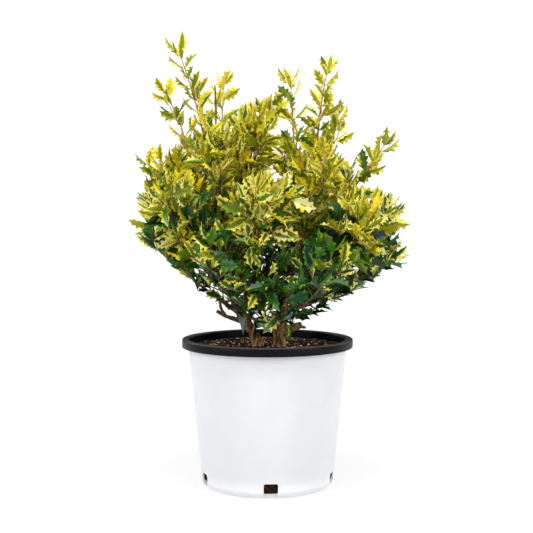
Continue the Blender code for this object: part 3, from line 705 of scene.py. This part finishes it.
def smooth_path(stations, steps):
    """(point, radius) pairs on a Catmull-Rom curve through stations measured from the potting mix."""
    rows = [Vector((x, y, z + MIX_TOP + GAP, radius)) for x, y, z, radius in stations]
    rows = [2 * rows[0] - rows[1], *rows, 2 * rows[-1] - rows[-2]]
    path = []
    for p0, p1, p2, p3 in zip(rows, rows[1:], rows[2:], rows[3:], strict=False):
        for t in (k / steps for k in range(steps)):
            bend = (2 * p0 - 5 * p1 + 4 * p2 - p3) * t**2 + (3 * p1 - p0 - 3 * p2 + p3) * t**3
            path.append(0.5 * (2 * p1 + (p2 - p0) * t + bend))
    path.append(rows[-2])
    return [(row.xyz, row[3]) for row in path]


def tubes_mesh(paths, round_steps):
    """One mesh of closed tubes along lists of (point, radius) pairs."""
    curve = bpy.data.curves.new("tubes", "CURVE")
    curve.dimensions = "3D"
    curve.use_fill_caps = True
    curve.bevel_depth = 1.0
    curve.bevel_resolution = round_steps
    for path in paths:
        spline = curve.splines.new("POLY")
        spline.points.add(len(path) - 1)
        for point, (place, radius) in zip(spline.points, path, strict=True):
            point.co = (*place, 1)
            point.radius = radius
        spline.use_smooth = True
    obj = bpy.data.objects.new("tubes", curve)
    bpy.context.scene.collection.objects.link(obj)
    mesh = evaluated_mesh(obj)
    bpy.data.objects.remove(obj)
    bm = bmesh.new()
    bm.from_mesh(mesh)
    bmesh.ops.remove_doubles(bm, verts=bm.verts, dist=1e-6)
    bm.to_mesh(mesh)
    bm.free()
    return mesh


def rough_limb(name, paths, finish, heights, *nodes):
    """Limbs with bark relief: cracks up the limb, and lumps."""
    relief, knots = heights
    mesh = tubes_mesh(paths, LIMB_SIDES)
    bm = bmesh.new()
    bm.from_mesh(mesh)
    for vert in bm.verts:
        crack = noise.noise(vert.co * Vector(CRACK))
        ridge = noise.noise(vert.co * Vector(RIDGE))
        lump = noise.noise(vert.co * LUMP)
        vert.co += vert.normal * (relief * (crack + 0.5 * ridge) + knots * lump)
    bm.to_mesh(mesh)
    bm.free()
    shade(mesh, 70)
    return settle(add_object(name, mesh, [finish]), "bark", *nodes)


def point_at_height(path, height):
    """The point of a stem's path at a height above the potting mix."""
    height += MIX_TOP + GAP
    for (low, _), (high, _) in zip(path, path[1:], strict=False):
        if low.z <= height <= high.z:
            return low.lerp(high, (height - low.z) / (high.z - low.z))
    return path[-1][0]


class Mass:
    """One mass of foliage, its bough and its own stem on one curve from start to tip."""

    def __init__(self, name, tier, side, tip, start, stem_heading=None):
        self.name = name
        self.tier_name = tier
        self.tier = TIERS[tier]
        self.side = side
        self.seed = sum(ord(letter) * (i + 3) for i, letter in enumerate(name))
        self.foot = 0.0 if stem_heading else self.tier.foot
        span = tip - start
        rise = span.z / span.length
        flat = Vector((span.x, span.y, 0)).normalized()
        leave = stem_heading or flat * LEAVE_OUT + UP * (LEAVE_UP + LEAVE_RISE * rise)
        arrive = flat * ARRIVE_OUT * LEANING.get(name, 1) + UP * (ARRIVE_UP + ARRIVE_RISE * rise)
        near = start + leave.normalized() * span.length * LEAVE_HANDLE
        far = tip - arrive.normalized() * span.length * ARRIVE_HANDLE
        self.curve = (start, near, far, tip)

    def at(self, t):
        p0, p1, p2, p3 = self.curve
        s = 1 - t
        return s**3 * p0 + 3 * s * s * t * p1 + 3 * s * t * t * p2 + t**3 * p3

    def thickness(self, t):
        return self.tier.thick + (TWIG_TIP_RADIUS - self.tier.thick) * t**TAPER

    def stretch(self, first, last, steps):
        """(point, radius) pairs along the curve between two shares of it."""
        shares = [first + (last - first) * i / steps for i in range(steps + 1)]
        return [(self.at(t), self.thickness(t)) for t in shares]


def plan_rows():
    """The name, tier, stem side and tip of every mass: the rings of the dome, then the single ones."""
    rows = []
    for tier, count, first, distance, height, vary in RINGS:
        rng = random.Random(tier)
        for i in range(count):
            azimuth = first + 360 * i / count
            turn = math.radians(azimuth)
            away = distance + rng.uniform(-vary, vary)
            tip = CROWN_AXIS + Vector((away * math.cos(turn), away * math.sin(turn), height))
            tip.z += rng.uniform(-vary, vary) - CROWN_LEAN * tip.x
            side = "left" if tip.x < CROWN_AXIS.x - 0.001 else "right"
            rows.append((f"{tier}_{SIDES[round(azimuth / 45) % 8]}", tier, side, tip))
    return rows + [(name, tier, side, Vector(tip)) for name, tier, side, tip in SINGLES]


def plan_masses(stems):
    """Every mass, each with a start of its own on its stem."""
    order = {}
    masses = []
    for name, tier, side, tip in plan_rows():
        if name in ON_STEM:
            (below, _), (top, _) = stems[side][-2:]
            masses.append(Mass(name, tier, side, tip, top, (top - below).normalized()))
            continue
        place = order.get((tier, side), 0)
        order[(tier, side)] = place + 1
        start = point_at_height(stems[side], TIERS[tier].leave + TIERS[tier].step * place)
        masses.append(Mass(name, tier, side, tip, start))
    return masses


class Lines:
    """Line segments as arrays, for the distance from a point to each of them."""

    def __init__(self, paths):
        rows = []
        for owner, path in enumerate(paths):
            for i, ((a, ra), (b, rb)) in enumerate(zip(path, path[1:], strict=False)):
                rows.append((*a, *(b - a), max(ra, rb), owner, i == len(path) - 2))
        rows = np.array(rows, float)
        self.start, self.step = rows[:, 0:3], rows[:, 3:6]
        self.radius, self.owner, self.last = rows[:, 6], rows[:, 7].astype(int), rows[:, 8] > 0
        self.square = (self.step**2).sum(1)

    def away(self, point):
        """The distance to each segment, and where along it the nearest point is."""
        offset = np.array(point) - self.start
        share = (offset * self.step).sum(1) / self.square
        nearest = offset - self.step * np.clip(share, 0, 1)[:, None]
        return np.sqrt((nearest**2).sum(1)), share


class Space:
    """What a mass may use: points in its reach, nearer its own stem than any other, off the limbs."""

    def __init__(self, masses, limbs):
        self.lines = Lines([mass.stretch(mass.foot * BOUGH_BARE, 1.0, SPACE_ROWS) for mass in masses])
        self.limbs = Lines(limbs)
        self.order = {mass.name: i for i, mass in enumerate(masses)}
        self.used = np.zeros((0, 3))

    def holds(self, mass, point):
        away, share = self.lines.away(point)
        own = self.lines.owner == self.order[mass.name]
        mine = np.where(own, away, math.inf)
        best = int(mine.argmin())
        past = share[best] > 1.0 and self.lines.last[best]
        if mine[best] > (mass.tier.past if past else mass.tier.reach):
            return False
        wide = max(0.0, (point - CROWN_AXIS).xy.length - CROWN_LOW_WIDTH)
        lowest = min(CROWN_LOW + CROWN_LOW_SLOPE * wide, CROWN_LOW_TOP)
        if abs(point.x) < SKIRT_WIDTH:
            lowest = SKIRT_LOW
        if point.z < lowest - CROWN_LEAN * point.x:
            return False
        return mine[best] + 2 * SPACE_MARGIN < away[~own].min()

    def clears_limbs(self, point):
        away, _ = self.limbs.away(point)
        return bool((away > self.limbs.radius + LIMB_MARGIN).all())

    def clears_leaves(self, spots):
        if not len(self.used):
            return True
        gaps = self.used[None] - np.array(spots)[:, None]
        return bool(((gaps**2).sum(2) > LEAF_APART**2).all())

    def use(self, spots):
        self.used = np.vstack([self.used, np.array(spots)])


def side_vector(direction, turn):
    """A unit vector square to direction, turned about it."""
    return Matrix.Rotation(turn, 3, direction) @ direction.cross(UP).normalized()


def twig_path(root, heading, length, radius, lift):
    """(point, radius) pairs of a twig that bends up towards the light."""
    path = [(root, radius)]
    for i in range(TWIG_STEPS):
        heading = (heading + UP * lift / TWIG_STEPS).normalized()
        share = (i + 1) / TWIG_STEPS
        place = path[-1][0] + heading * length / TWIG_STEPS
        path.append((place, radius + (TWIG_TIP_RADIUS - radius) * share))
    return path


def fitted_twig(mass, space, root, heading, length, radius):
    """The longest twig from root, up to length, that stays in the mass's space, or None."""
    while length > SHORTEST_TWIG:
        path = twig_path(root, heading, length, radius, mass.tier.lift)
        if all(space.holds(mass, place) for place, _ in path[2:]):
            return path
        length *= TWIG_CUT
    return None


def grow_twigs(mass, space):
    """The mass's stem, its side twigs, the finer twigs on those, and a few twigs on its bough."""
    rng = random.Random(mass.seed)
    stem = mass.stretch(mass.foot, 1.0, STEM_ROWS)
    (before, _), (tip, radius) = stem[-2:]
    stem.append((tip + (tip - before).normalized() * mass.tier.tip, radius))
    twigs = [stem]
    turn = rng.uniform(0, math.tau)
    places = []
    count = round(mass.tier.twigs * SPARSE.get(mass.name, 1))
    for i in range(count):
        share = FIRST_TWIG + TWIG_SPREAD * (i + rng.uniform(-TWIG_JITTER, TWIG_JITTER)) / count
        t = mass.foot + (1 - mass.foot) * max(FIRST_TWIG / 2, share)
        length = mass.tier.reach * rng.uniform(*TWIG_LENGTH) * (TWIG_LONGEST - TWIG_SHORTER_UP * share)
        places.append((t, length, TWIG_UP))
    rise = -HANG if mass.tier_name == "low" else TWIG_UP
    for i in range(BOUGH_TWIGS if mass.foot else 0):
        t = mass.foot * (BOUGH_BARE + (1 - BOUGH_BARE) * (i + 0.5) / BOUGH_TWIGS)
        places.append((t, rng.uniform(*BOUGH_TWIG_LENGTH), rise))
    for t, length, rise in places:
        root = mass.at(t)
        onward = (mass.at(min(1.0, t + NEARBY)) - mass.at(t - NEARBY)).normalized()
        turn += GOLDEN_ANGLE
        heading = onward * TWIG_ALONG + side_vector(onward, turn) * TWIG_OUT + UP * rise
        radius = min(TWIG_RADIUS, mass.thickness(t) * TWIG_SHARE)
        path = fitted_twig(mass, space, root, heading.normalized(), length, radius)
        if path:
            twigs.append(path)
            twigs += grow_fine(mass, space, path, rng)
    return twigs


def grow_fine(mass, space, path, rng):
    """The finer twigs on a side twig that is long enough to bear them."""
    long = sum((b - a).length for (a, _), (b, _) in zip(path, path[1:], strict=False))
    if long < FINE_FROM:
        return []
    twigs = []
    turn = rng.uniform(0, math.tau)
    for place in FINE_PLACES:
        root, onward = point_along(path, long * place)
        turn += GOLDEN_ANGLE
        heading = onward * TWIG_ALONG + side_vector(onward, turn) * TWIG_OUT + UP * TWIG_UP
        length = long * rng.uniform(*FINE_LENGTH)
        fine = fitted_twig(mass, space, root, heading.normalized(), length, path[0][1] * FINE_SHARE)
        if fine:
            twigs.append(fine)
    return twigs


def point_along(path, distance):
    """The point and direction at a distance along (point, radius) pairs."""
    for (a, _), (b, _) in zip(path, path[1:], strict=False):
        step = (b - a).length
        if distance <= step:
            return a.lerp(b, distance / step), (b - a).normalized()
        distance -= step
    return b, (b - a).normalized()


Leaf = namedtuple("Leaf", "root direction across normal length youth tier spray light")


def leaf_axes(root, heading, outward, angle):
    """A leaf's direction, across and upper normal, the blade turned part of the way to the light."""
    direction = (heading * math.cos(angle) + outward * math.sin(angle)).normalized()
    normal = heading.cross(outward).cross(direction).normalized()
    side = Vector((root.x - CROWN_AXIS.x, root.y - CROWN_AXIS.y, 0))
    lit = normal.lerp((UP + side * SIDE_LIGHT).normalized(), TURN_TO_LIGHT)
    lit = (lit - direction * lit.dot(direction)).normalized()
    return direction, lit.cross(direction), lit


def grow_leaves(mass, twigs, space):
    """The mass's leaves: opposite pairs, each square to the last, where they fit."""
    rng = random.Random(mass.seed + 1)
    tier = mass.tier
    leaves = []
    for i, twig in enumerate(twigs):
        total = sum((b - a).length for (a, _), (b, _) in zip(twig, twig[1:], strict=False))
        first = max(total * (tier.bare if i else STEM_BARE), FIRST_PAIR)
        count = max(1, round((total - first) / tier.pitch))
        turn = rng.uniform(0, math.pi)
        spray, light = rng.random(), rng.random()
        for k in range(count + 1):
            share = 1 - (1 - k / count) ** CROWDING
            root, heading = point_along(twig, min(first + (total - first) * share, total - LAST_PAIR))
            turn += math.pi / 2 + rng.uniform(-PAIR_TWIST, PAIR_TWIST)
            youth = max(0.0, 1 - (1 - share) * total / YOUNG_END)
            for half in (0, math.pi):
                spread = tier.angle + (TIP_ANGLE - tier.angle) * youth**4
                angle = math.radians(spread) * rng.uniform(*ANGLE_VARY)
                length = tier.leaf * rng.uniform(*LENGTH_VARY) * (TIP_PAIR_LENGTH if k == count else 1)
                outward = side_vector(heading, turn + half)
                for more, shorter in TRIES:
                    turned = Matrix.Rotation(more, 3, heading) @ outward
                    axes = leaf_axes(root, heading, turned, angle)
                    leaf = Leaf(root, *axes, length * shorter, youth, mass.tier_name, spray, light)
                    spots = [root + axes[0] * leaf.length * spot for spot in LEAF_SPOTS]
                    if not space.holds(mass, spots[-1]) or not space.clears_leaves(spots):
                        continue
                    if all(space.clears_limbs(spot) for spot in spots):
                        space.use(spots)
                        leaves.append(leaf)
                        break
    return leaves


def envelope(share):
    """Half the width of a leaf of unit length at its teeth."""
    blade = max(0.0, (share - STALK) / (1 - STALK))
    return LEAF_WIDTH / 2 * math.sin(math.pi * blade**0.85) ** 0.75 if 0 < blade < 1 else 0.0


def leaf_shape(rng):
    """The corners of one leaf of unit length: rows across its upper side, then the rows below them."""
    fold, droop, sway, wide, spine = (rng.uniform(*span) for span in (FOLD, DROOP, SWAY, WIDE, SPINE))
    top, below = [], []
    for share, kind in STATIONS:
        outline = envelope(share) * wide
        lift = -droop * share * share
        side = sway * share * share
        inner = APEX_WIDTH if kind == "apex" else max(outline * SINUS, STALK_WIDTH)
        for column in COLUMNS:
            reach, forward, curl = inner, 0.0, 0.0
            if abs(column) == 1 and kind == "tooth":
                reach = outline * spine * rng.uniform(*UNEVEN)
                forward = SPINE_FORWARD
                curl = rng.choice(SPINE_CURLS)
            y = column * reach
            top.append((share + forward, side + y, lift + abs(y) * fold + curl))
            if abs(column) < 1:
                below.append((share, side + y, lift + abs(y) * fold - LEAF_THICKNESS))
    return np.array(top + below)


def leaf_faces():
    """The faces of a leaf, and for each its row, its half and its column from the edge."""
    wide, rows = len(COLUMNS), len(STATIONS)
    tops = [[row * wide + column for column in range(wide)] for row in range(rows)]
    first = rows * wide - 1
    unders = [[first + row * (wide - 2) + column for column in range(wide)] for row in range(rows)]
    for top, under in zip(tops, unders, strict=True):
        under[0], under[-1] = top[0], top[-1]
    faces, places = [], []
    for row in range(rows - 1):
        for column in range(wide - 1):
            place = (row, column >= wide // 2, min(column, wide - 2 - column))
            (a, b), (c, d) = (grid[column : column + 2] for grid in tops[row : row + 2])
            faces.append((a, c, d, b))
            (a, b), (c, d) = (grid[column : column + 2] for grid in unders[row : row + 2])
            faces.append((a, b, d, c))
            places += [place, place]
    for row in (0, rows - 1):
        ring = [*tops[row], *reversed(unders[row][1:-1])]
        faces.append(tuple(ring) if row == 0 else tuple(reversed(ring)))
        places.append((row, False, 0))
    return faces, places


def mixed(weights, number):
    """The name that a number from 0 to 1 falls on, each name as wide as its weight."""
    left = number * sum(weights.values())
    for name, weight in weights.items():
        left -= weight
        if left < 0:
            return name
    return name


def ramp(value, low, high):
    return min(1.0, max(0.0, (value - low) / (high - low)))


def kind_of(leaf, rng):
    """The kind of a leaf: bright near the crown's outside and its twig's tip, alike in a spray, and
    darker inside, partly as painted shade.
    """
    tip, foot = MIXES[leaf.tier]
    centre = leaf.root + leaf.direction * leaf.length / 2
    parts = [(c - m) / h for c, m, h in zip(centre, CROWN_MIDDLE, CROWN_HALF, strict=True)]
    outer = ramp(math.sqrt(sum(part * part for part in parts)), BRIGHT_FROM, BRIGHT_TO)
    young = YOUTH_LEAST + (1 - YOUTH_LEAST) * ramp(leaf.youth, YOUTH_FROM, YOUTH_TO)
    sunny = HEIGHT_LEAST + (1 - HEIGHT_LEAST) * ramp(centre.z, HEIGHT_FROM, HEIGHT_TO)
    if leaf.tier == "low":
        sunny = 1
    number = (leaf.spray + rng.uniform(-SPRAY_VARY, SPRAY_VARY)) % 1
    kind = mixed(tip if leaf.light < outer * young * sunny else foot, number)
    if kind == "cream" and centre.x < OLIVE_SIDE and rng.random() < OLIVE_SHARE:
        return "olive"
    return kind


def leaf_colours(kind, places, rng):
    """A colour for each face of a leaf: its margin runs in by one row's own number of columns."""
    lead = {group: mixed(getattr(kind, group), rng.random()) for group in ("margin", "centre")}
    usual = rng.choices(range(len(kind.columns)), kind.columns)[0]
    width = {}
    for row, half, column in places:
        if (row, half) not in width:
            other = rng.choices(range(len(kind.columns)), kind.columns)[0]
            width[(row, half)] = usual if rng.random() < USUAL_SHARE else other
        group = "margin" if column < width[(row, half)] else "centre"
        if rng.random() < LEAD_SHARE:
            yield lead[group]
        else:
            yield mixed(getattr(kind, group), rng.random())


def build_leaves(name, leaves, shapes, finishes, slot, nodes):
    """Leaves as one mesh, each with its own colours."""
    rng = random.Random(name)
    faces, places = leaf_faces()
    order = {colour: i for i, colour in enumerate(finishes)}
    points, polygons, indices = [], [], []
    size = len(shapes[0])
    for number, leaf in enumerate(leaves):
        shape = shapes[rng.randrange(len(shapes))] * leaf.length
        axes = np.array([leaf.direction, leaf.across, leaf.normal])
        points.append(shape @ axes + np.array(leaf.root))
        polygons += [tuple(corner + number * size for corner in face) for face in faces]
        indices += [order[colour] for colour in leaf_colours(KINDS[kind_of(leaf, rng)], places, rng)]
    mesh = bpy.data.meshes.new(name)
    mesh.from_pydata(np.vstack(points).tolist(), [], polygons)
    obj = add_object(name, mesh, finishes.values())
    mesh.polygons.foreach_set("material_index", indices)
    shade(mesh, 45)
    return settle(obj, slot, *nodes)


def build_twigs(name, twigs, limit, finishes):
    """Twigs in two meshes, young wood and older wood: a twig is young where its foot is thinner."""
    young = [path for path in twigs if path[0][1] < limit]
    older = [path for path in twigs if path[0][1] >= limit]
    for part, paths, finish in (("young", young, finishes[0]), ("older", older, finishes[1])):
        if paths:
            mesh = tubes_mesh(paths, 1)
            mesh.shade_smooth()
            settle(add_object(f"{name}_{part}", mesh, [finish]), "bark")


def build_pot():
    build_wall(pot_white())
    build_rim(rim_black())
    build_mix(mix_brown())
    build_chips()


def build_plant():
    """The stems and boughs, then the masses tier by tier, each tier in two halves."""
    trunk, bough, dead, young, inner, older = (bark(name, stops) for name, stops in WOODS.items())
    stems = {"left": LEFT_STEM, "right": RIGHT_STEM}
    paths = {side: smooth_path(stem, LIMB_STEPS) for side, stem in stems.items()}
    coarse = {side: smooth_path(stem, COARSE_STEPS) for side, stem in stems.items()}
    for side, path in paths.items():
        rough_limb(f"{side}_trunk", [path], trunk, TRUNK_RELIEF, f"{side}_stem")
    dead_paths = [smooth_path(part, SMALL_STEPS) for part in (DEAD_BRANCH, DEAD_PRONG)]
    stub_paths = [smooth_path(part, SMALL_STEPS) for part in (CUT_STUB, CUT_SHOOT)]
    bare_path = smooth_path(BARE_TWIG, SMALL_STEPS)
    rough_limb("dead_wood", dead_paths, dead, DEAD_RELIEF, "dead_branch")
    rough_limb("pruned_stub", stub_paths, trunk, STUB_RELIEF, "cut_stub")
    rough_limb("bare_leader", [bare_path], dead, LEADER_RELIEF, "bare_twig")
    masses = plan_masses(coarse)
    limbs = [*paths.values(), *dead_paths, *stub_paths, bare_path]
    for side in paths:
        mine = [mass for mass in masses if mass.side == side and mass.foot]
        boughs = [mass.stretch(0.0, mass.foot, BOUGH_ROWS) for mass in mine]
        names = ["bough_" + mass.name for mass in mine]
        rough_limb(f"{side}_boughs", boughs, bough, BOUGH_RELIEF, *names)
        limbs += boughs
    space = Space(masses, limbs)
    finishes = leaf_materials()
    rng = random.Random(SHAPE_SEED)
    shapes = [leaf_shape(rng) for _ in range(LEAF_SHAPES)]
    for tier, slot in SLOTS.items():
        mine = [mass for mass in masses if mass.tier_name == tier]
        half = (len(mine) + 1) // 2
        for part, some in (("1", mine[:half]), ("2", mine[half:])):
            twigs, leaves = [], []
            for mass in some:
                grown = grow_twigs(mass, space)
                twigs += grown
                leaves += grow_leaves(mass, grown, space)
            # The lower tiers' young twigs take the darker bark that paints the crown's inner shade
            fresh = young if tier in SUNNY_TIERS else inner
            build_twigs(f"twigs_{tier}_{part}", twigs, YOUNG_UNDER[tier], (fresh, older))
            names = [mass.name for mass in some]
            build_leaves(f"leaves_{tier}_{part}", leaves, shapes, finishes, slot, names)


def build_backdrop():
    """A wide pale floor and low white walls round it, both with a glow that the floor alone sheds."""
    sides = range(STUDIO_SIDES)
    turns = [math.tau * i / STUDIO_SIDES for i in sides]
    ring = [(STUDIO_RADIUS * math.cos(turn), STUDIO_RADIUS * math.sin(turn)) for turn in turns]
    floor = bpy.data.meshes.new("studio_floor")
    floor.from_pydata([(x, y, 0) for x, y in ring], [], [tuple(sides)])
    wall = bpy.data.meshes.new("studio_wall")
    corners = [(x, y, z) for z in (0, WALL_HEIGHT) for x, y in ring]
    pairs = [(i, (i + 1) % STUDIO_SIDES) for i in sides]
    wall.from_pydata(corners, [], [(i, i + STUDIO_SIDES, k + STUDIO_SIDES, k) for i, k in pairs])
    for mesh, code, glow in ((floor, FLOOR_COLOUR, FLOOR_GLOW), (wall, WALL_COLOUR, WALL_GLOW)):
        made, _, shader = new_material(mesh.name + "_white", code, 0.9)
        shader.inputs["Emission Color"].default_value = (1, 1, 1, 1)
        shader.inputs["Emission Strength"].default_value = glow
        stage = add_object(mesh.name, mesh, [made])
        stage.visible_diffuse = mesh is floor
        stage.visible_glossy = mesh is floor


def add_sun(name, strength, width, place):
    """A soft sun that shines from the direction of place."""
    sun = bpy.data.lights.new(name, "SUN")
    sun.energy = strength
    sun.angle = width
    light = bpy.data.objects.new(name, sun)
    light.rotation_euler = (-place).to_track_quat("-Z", "Y").to_euler()
    bpy.context.scene.collection.objects.link(light)


def build_studio():
    build_backdrop()
    world = bpy.data.worlds.new("studio")
    world.use_nodes = True
    world.node_tree.nodes["Background"].inputs["Color"].default_value = (1, 1, 1, 1)
    world.node_tree.nodes["Background"].inputs["Strength"].default_value = AIR
    bpy.context.scene.world = world
    add_sun("key", KEY_STRENGTH, KEY_WIDTH, Vector(KEY_PLACE))
    for turn, rise, strength in FILLS:
        a, e = math.radians(turn), math.radians(rise)
        place = Vector((math.sin(a) * math.cos(e), -math.cos(a) * math.cos(e), math.sin(e)))
        add_sun("fill", strength, FILL_WIDTH, place)
    data = bpy.data.cameras.new("camera")
    data.lens = CAMERA_LENS
    data.sensor_width = SENSOR
    camera = bpy.data.objects.new("camera", data)
    camera.location = CAMERA_PLACE
    camera.rotation_euler = (CAMERA_TILT, 0, 0)
    bpy.context.scene.collection.objects.link(camera)
    bpy.context.scene.camera = camera
    bpy.context.scene.view_settings.view_transform = "Standard"


def main():
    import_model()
    build_pot()
    build_plant()
    build_studio()


main()
